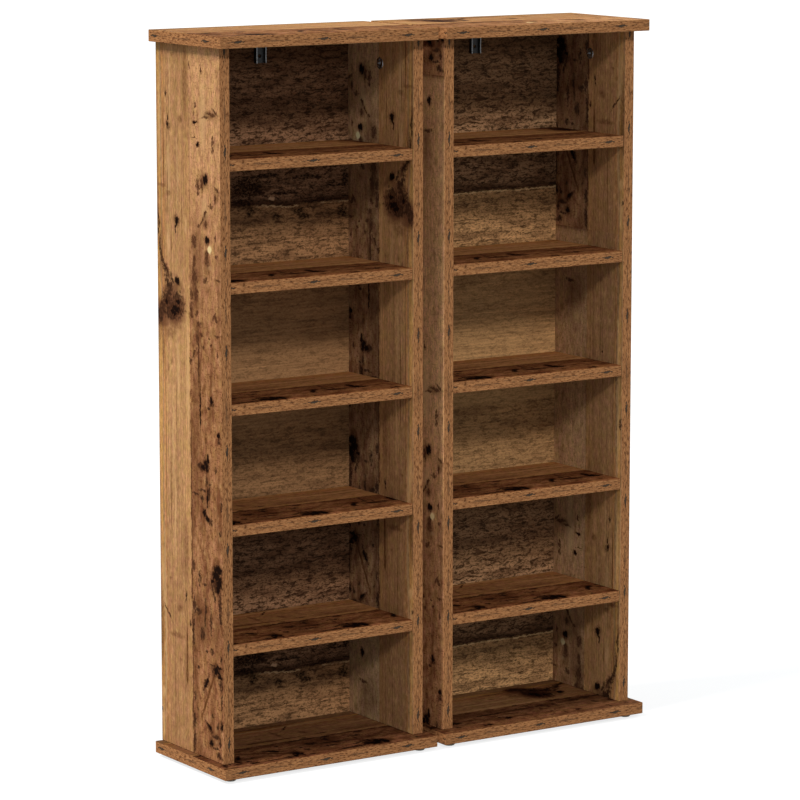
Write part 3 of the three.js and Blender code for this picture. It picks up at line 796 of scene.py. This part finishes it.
def foil(tree, shader, place, colour, height):
    """Gives a shader the satin, slightly uneven surface of printed foil."""
    roughness = tree.remap(tree.noise(place, *FOIL_NOISE), *USUAL_NOISE, *FOIL_ROUGHNESS)
    shader.inputs["Specular IOR Level"].default_value = FOIL_SPECULAR
    surface(tree, shader, colour, roughness, height, GRAIN_STRENGTH, GRAIN_RELIEF)


def board_material(name, upright, faces, band_start, middle, pitch=None, tint=None, cast=None):
    """A board with the old-wood print on its two faces and banding on its edges.
    Upright boards are sides, which face left and right; the others face up and down. Faces say where
    the print lies on the face that looks along the axis and on the other one: the place across at
    the middle of the depth, its direction across, and the place along at the frame's origin.
    The band's print starts at band_start, and middle is the middle of the thickness. A pitch stands
    for boards one above another, each with its print moved on. A tint deepens and darkens the print,
    partly as painted shade, and gives its shares of red, green and blue. A cast is painted light: it
    gives the face that looks against the axis shares of its own, on the rear and on the front plank,
    which make it lighter and less red than the same print elsewhere."""
    material, tree, shader = new_material(name)
    spot, normal = place_in_mm(tree)
    x, y, z = tree.parts(spot)
    nx, _, nz = tree.parts(normal)
    facing, along, through = (nx, z, x) if upright else (nz, x, z)

    along_print = along
    if pitch:
        from_first = tree.math("SUBTRACT", through, middle - pitch / 2)
        number = tree.math("FLOOR", tree.math("DIVIDE", from_first, pitch))
        along_print = tree.math("MULTIPLY_ADD", number, SHELF_SHIFT, along)
        middle = tree.math("MULTIPLY_ADD", number, pitch, middle)

    along_axis, against_axis = [
        tree.join(tree.math("MULTIPLY_ADD", y, direction, at_middle),
                  tree.math("ADD", along_print, at_origin))
        for at_middle, direction, at_origin in faces]
    positive = tree.remap(facing, *FACE_TURN, soft=False)
    place = tree.mix_vector(positive, against_axis, along_axis)
    face_colour, face_height = print_of(tree, OLD_WOOD, place)
    # A tint deepens and darkens the print, partly as painted shade
    if tint:
        deeper, shares = tint
        face_colour = tree.vector("MULTIPLY", tree.vector("POWER", face_colour, (deeper,) * 3), shares)
    # A cast is painted light: the face against the axis made lighter and less red
    if cast:
        plank = tree.remap(tree.parts(place)[0], SEAM - PAINTED_LIGHT_SOFTNESS, SEAM + PAINTED_LIGHT_SOFTNESS)
        own = tree.vector("MULTIPLY", face_colour, tree.mix_vector(plank, *cast))
        face_colour = tree.mix(positive, own, face_colour)

    across_band = tree.math("SUBTRACT", through, middle)
    run = along
    if not upright:
        end_on = tree.remap(tree.math("ABSOLUTE", nx), *END_TURN, soft=False)
        run = tree.math("MULTIPLY_ADD", tree.math("SUBTRACT", y, along), end_on, along)
    band_place = tree.join(across_band, tree.math("SUBTRACT", run, band_start))
    band_colour, band_height = print_of(tree, BANDING, band_place)

    edge = tree.remap(tree.math("ABSOLUTE", facing), *EDGE_TURN, soft=False)
    colour = tree.mix(edge, face_colour, band_colour)
    difference = tree.math("MULTIPLY", edge, tree.math("SUBTRACT", band_height, face_height))
    foil(tree, shader, place, colour, tree.math("ADD", face_height, difference))
    return material


def small_material(name):
    """A new material for a small piece, with the parts of the place in the frame."""
    material, tree, shader = new_material(name)
    spot, _ = place_in_mm(tree)
    return material, tree, shader, tree.parts(spot)


def small_noises(tree, place, sizes):
    """A coarse and a fine noise for a small piece."""
    coarse, fine = sizes
    return tree.noise(place, *coarse, *COARSE_GRAIN), tree.noise(place, *fine, *FINE_GRAIN)


def back_material(name, left, bottom, tint):
    """A back panel with its print, which starts at left and bottom."""
    material, tree, shader, (x, _, z) = small_material(name)
    place = tree.join(tree.math("SUBTRACT", x, left), tree.math("SUBTRACT", z, bottom))
    colour, height = print_of(tree, LEVEL_PLANKS, place)
    # On the right tower the tint is painted light: the back made lighter and less red
    foil(tree, shader, place, tree.vector("MULTIPLY", colour, tint), height)
    return material


def edges_mm(node):
    """Lowest and highest corner of a CAD node in millimetres."""
    low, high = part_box(node)
    return [part / MM for part in low], [part / MM for part in high]


def metal_material(name, colour, roughness, scratch):
    """Bare metal with fine level scratches and uneven gloss."""
    material, tree, shader, (x, y, z) = small_material(name)
    flat = tree.join(tree.math("ADD", x, y), z)
    cloud, fine = small_noises(tree, flat, METAL_SIZES)
    tone = tree.mix(tree.remap(cloud, *USUAL_NOISE), scaled(colour, METAL_DULL), colour)
    uneven = tree.remap(fine, *USUAL_NOISE, *(roughness + change for change in METAL_GLOSS))
    shader.inputs["Metallic"].default_value = 1.0
    surface(tree, shader, tone, uneven, fine, scratch, FINE_RELIEF)
    return material


def bracket_material(bracket):
    """Dark paint, with a painted highlight along the front edges of the bracket's flanges,
    drawn as lighter, partly metallic steel where the paint is rubbed through.
    """
    material, tree, shader, (x, y, z) = small_material(bracket)
    _, high = edges_mm(bracket)
    flat = tree.join(tree.math("ADD", x, y), z)
    cloud, grit = small_noises(tree, flat, PAINT_SIZES)
    # The painted highlight along the flanges' front edges, drawn like rubbed-through paint
    from_edge = tree.away(y, high[1] - BRACKET_FLANGE)
    below_top = tree.remap(z, high[2] - HIGHLIGHT_BELOW_TOP, high[2] - 2 * HIGHLIGHT_BELOW_TOP)
    at_edge = tree.math("MULTIPLY", tree.remap(from_edge, *HIGHLIGHT_EDGE), below_top)
    painted_highlight = tree.math("MULTIPLY", at_edge, tree.remap(grit, *HIGHLIGHT_BREAKS))
    paint = tree.mix(tree.remap(cloud, *USUAL_NOISE), *PAINT_TONES)
    tone = tree.mix(painted_highlight, paint, HIGHLIGHT_TONE)
    tree.feed(shader.inputs["Metallic"], tree.math("MULTIPLY", painted_highlight, HIGHLIGHT_METALLIC))
    roughness = tree.remap(grit, *USUAL_NOISE, *PAINT_ROUGHNESS)
    surface(tree, shader, tone, roughness, grit, PAINT_STRENGTH, FINE_RELIEF)
    return material


def plastic_material(name, colour):
    """Matt moulded plastic with a fine texture and slight scuffs."""
    material, tree, shader, (x, y, z) = small_material(name)
    flat = tree.join(tree.math("ADD", x, z), tree.math("ADD", y, z))
    cloud, texture = small_noises(tree, flat, PLASTIC_SIZES)
    tone = tree.mix(tree.remap(cloud, *SCUFFS), colour, scaled(colour, SCUFF_LIGHTER))
    roughness = tree.remap(cloud, *USUAL_NOISE, *PLASTIC_ROUGHNESS)
    surface(tree, shader, tone, roughness, texture, PLASTIC_STRENGTH, FINE_RELIEF)
    return material


def dowel_material(name):
    """Plain beech with fine lines along the dowels and the short flecks that beech has."""
    material, tree, shader, (x, y, z) = small_material(name)
    flat = tree.join(tree.math("ADD", x, y), z)
    lines, flecks = small_noises(tree, flat, DOWEL_SIZES)
    colour = tree.mix(tree.remap(lines, *USUAL_NOISE), *DOWEL_TONES)
    colour = tree.draw(colour, flecks, *BEECH_FLECKS)
    roughness = tree.remap(lines, *USUAL_NOISE, *DOWEL_ROUGHNESS)
    surface(tree, shader, colour, roughness, lines, DOWEL_STRENGTH, DOWEL_RELIEF)
    return material


def dress(node, material):
    """Puts a material on a CAD node in place of its own."""
    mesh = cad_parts[node].data
    mesh.materials.clear()
    mesh.materials.append(material)


# Where the print lies on each board: for the face that looks along the axis and for the other one,
# the place across at the middle of the depth, the direction across, and the place along at the base
# board's left end or, on a side, at its upper face
PRINTS = {
    "left_tower": {
        "left_side": ((68, 1, 511), (88, -1, 0)),
        "right_side": ((88, -1, 830), (68, 1, -120)),
        "top_board": ((72, -1, 170), (72, 1, 640)),
        "base_board": ((72, -1, 0), (72, 1, 900)),
        "shelves": ((90, -1, 20), (66, 1, 420)),
    },
    "right_tower": {
        "left_side": ((68, 1, 40), (88, -1, 370)),
        "right_side": ((88, -1, 250), (68, 1, 591)),
        "top_board": ((72, -1, 500), (72, 1, 90)),
        "base_board": ((72, -1, 340), (72, 1, 1010)),
        "shelves": ((90, -1, 40), (66, 1, 150)),
    },
}

# Tints of the boards, as board_material takes them. They deepen and darken the print: on the top
# board a painted shade that tones down the light on its upper face, on the base board and the
# shelves partly print and partly a painted shade, as of the compartments and the cases in them
BOARD_TINTS_AND_SHADE = {
    "top_board": (1.0, (0.82, 0.80, 0.79)),
    "base_board": (1.25, (0.53, 0.55, 0.66)),
    "shelves": (1.2, (0.82, 0.80, 0.84)),
}
# Casts are painted light: faces in the compartments and in the gap made lighter and less red
PAINTED_LIGHT_CASTS = {
    "left_tower_right_side": ((1.0, 1.0, 1.0), (1.0, 1.25, 1.5)),
    "right_tower_left_side": ((1.12, 1.14, 1.18), (1.2, 1.24, 1.3)),
    "right_tower_right_side": ((1.02, 1.05, 1.06), (0.98, 1.16, 1.34)),
}

# Back panels: how far the print is moved on, and its shares of red, green and blue. On the right
# tower the shares are painted light: its back is lighter and less red than the left one's, to
# offset the dim, reddish light in its compartments
BACK_SHIFTS = {"left_tower": 0, "right_tower": 330}
BACK_PAINTED_LIGHT = {"left_tower": (1.0, 1.0, 1.0), "right_tower": (1.32, 1.40, 1.34)}

# Where the banding's print starts: from the base board's left end, from its upper face on a side,
# and from a shelf's own left end
BAND_START = 26.0
SHELF_BAND_START = 122.0


def dress_boards(tower):
    base_low, base_high = edges_mm(f"{tower}_base_board")
    left, bottom = base_low[0], base_high[2]

    def faces_of(board, start):
        return [(across, way, along - start) for across, way, along in PRINTS[tower][board]]

    for board in ("top_board", "base_board", "left_side", "right_side"):
        node = f"{tower}_{board}"
        upright = board.endswith("_side")
        start, axis = (bottom, 0) if upright else (left, 2)
        low, high = edges_mm(node)
        dress(node, board_material(node, upright, faces_of(board, start), start + BAND_START,
                                   (low[axis] + high[axis]) / 2,
                                   tint=BOARD_TINTS_AND_SHADE.get(board), cast=PAINTED_LIGHT_CASTS.get(node)))

    low, high = edges_mm(f"{tower}_{SHELVES[0]}")
    next_low, _ = edges_mm(f"{tower}_{SHELVES[1]}")
    shelf_left = edges_mm(f"{tower}_left_side")[1][0]
    shelf_material = board_material(f"{tower}_shelves", False, faces_of("shelves", left),
                                    shelf_left + SHELF_BAND_START, (low[2] + high[2]) / 2,
                                    pitch=next_low[2] - low[2], tint=BOARD_TINTS_AND_SHADE["shelves"])
    for shelf in SHELVES:
        dress(f"{tower}_{shelf}", shelf_material)

    print_left = shelf_left - BACK_SHIFTS[tower]
    dress(f"{tower}_back_panel", back_material(f"{tower}_back", print_left, bottom, BACK_PAINTED_LIGHT[tower]))


def dress_hardware(tower, steel, zinc, plastic, beech):
    for end in ENDS:
        dress(f"{tower}_cam_bolt_{end}", steel)
        dress(f"{tower}_cam_lock_{end}", zinc)
        for row in ROWS:
            dress(f"{tower}_base_screw_{end}_{row}", steel)
            dress(f"{tower}_top_dowel_{end}_{row}", beech)
            dress(f"{tower}_glide_{end}_{row}", plastic)
    bracket = f"{tower}_wall_bracket"
    coated = bracket_material(bracket)
    dress(bracket, coated)
    dress(f"{tower}_bracket_screw", coated)


STEEL = metal_material("screw_steel", shade(196, 196, 198), roughness=0.32, scratch=0.4)
ZINC = metal_material("cam_zinc", shade(178, 179, 181), roughness=0.42, scratch=0.3)
PLASTIC = plastic_material("glide_plastic", shade(126, 116, 100))
BEECH = dowel_material("dowel_beech")
for tower in TOWERS:
    dress_boards(tower)
    dress_hardware(tower, STEEL, ZINC, PLASTIC, BEECH)


# Light: the sky's strength and tone, the suns' tone, and each sun's name, where it comes
# from, its strength and its spread in degrees
SKY = 0.43
SKY_TONE = (0.90, 1.04, 1.14, 1.0)
SUN_TONE = (1.03, 0.99, 0.95)
SUNS = (
    ("key_front", (-0.25, -0.774, 0.503), 1.28, 9.0),
    ("key_side", (-0.62, 0.0, 0.78), 2.58, 16.0),
    ("fill_rear", (0.70, 0.50, 0.50), 0.45, 30.0),
)


def add_suns():
    for name, (x, y, z), strength, spread in SUNS:
        data = bpy.data.lights.new(name, "SUN")
        data.energy = strength
        data.color = SUN_TONE
        data.angle = math.radians(spread)
        sun = bpy.data.objects.new(name, data)
        bpy.context.scene.collection.objects.link(sun)
        sun.rotation_euler = (math.atan2(math.hypot(x, y), z), 0, math.atan2(x, -y))


def seen_directly(tree):
    """1 for rays from the camera, from gloss and through glass, and 0 for the light itself."""
    path = tree.add("LightPath").outputs
    either = tree.math("MAXIMUM", path["Is Camera Ray"], path["Is Glossy Ray"])
    return tree.math("MAXIMUM", either, path["Is Transmission Ray"])


def add_world():
    """A studio: white where it is seen, and a cool sky for the light."""
    world = bpy.data.worlds.new("studio")
    bpy.context.scene.world = world
    tree = bare_tree(world)
    seen = seen_directly(tree)
    background = tree.add("Background", tree.mix(seen, SKY_TONE, WHITE))
    tree.feed(background.inputs["Strength"], tree.between(seen, SKY, 1.0))
    output = tree.add("OutputWorld")
    tree.feed(output.inputs["Surface"], background.outputs[0])


# Floor: half its width in metres, its glow where it is seen, and its grey
FLOOR_REACH = 60.0
FLOOR_GLOW = 0.78
FLOOR_GREY = (0.30, 0.30, 0.30, 1.0)


def add_floor():
    """A floor that looks white and takes a faint shadow."""
    mesh = bpy.data.meshes.new("floor")
    build = bmesh.new()
    bmesh.ops.create_grid(build, x_segments=1, y_segments=1, size=FLOOR_REACH)
    build.to_mesh(mesh)
    build.free()
    floor = bpy.data.objects.new("floor", mesh)
    bpy.context.scene.collection.objects.link(floor)
    material = bpy.data.materials.new("floor")
    tree = bare_tree(material)
    seen = seen_directly(tree)
    matt = tree.add("BsdfDiffuse", FLOOR_GREY)
    glow = tree.add("Emission", WHITE)
    tree.feed(glow.inputs["Strength"], tree.math("MULTIPLY", seen, FLOOR_GLOW))
    both = tree.add("AddShader", matt.outputs[0], glow.outputs[0])
    output = tree.add("OutputMaterial")
    tree.feed(output.inputs["Surface"], both.outputs[0])
    mesh.materials.append(material)


# Camera, at the photograph's angle: place in metres, angles in degrees, lens and sensor in
# millimetres, and how far it sees in metres
CAMERA_PLACE = (-2.71016, -4.11401, 1.23714)
CAMERA_HEADING = 33.3114
CAMERA_DIP = 9.0985
CAMERA_LENS = 172.851
CAMERA_SENSOR = 36.0
CAMERA_FAR = 200.0


def add_camera():
    data = bpy.data.cameras.new("camera")
    data.lens = CAMERA_LENS
    data.sensor_width = CAMERA_SENSOR
    data.clip_end = CAMERA_FAR
    camera = bpy.data.objects.new("camera", data)
    bpy.context.scene.collection.objects.link(camera)
    camera.location = CAMERA_PLACE
    camera.rotation_euler = (math.radians(90 - CAMERA_DIP), 0, math.radians(-CAMERA_HEADING))
    bpy.context.scene.camera = camera


add_suns()
add_world()
add_floor()
add_camera()
bpy.context.scene.view_settings.view_transform = "Standard"
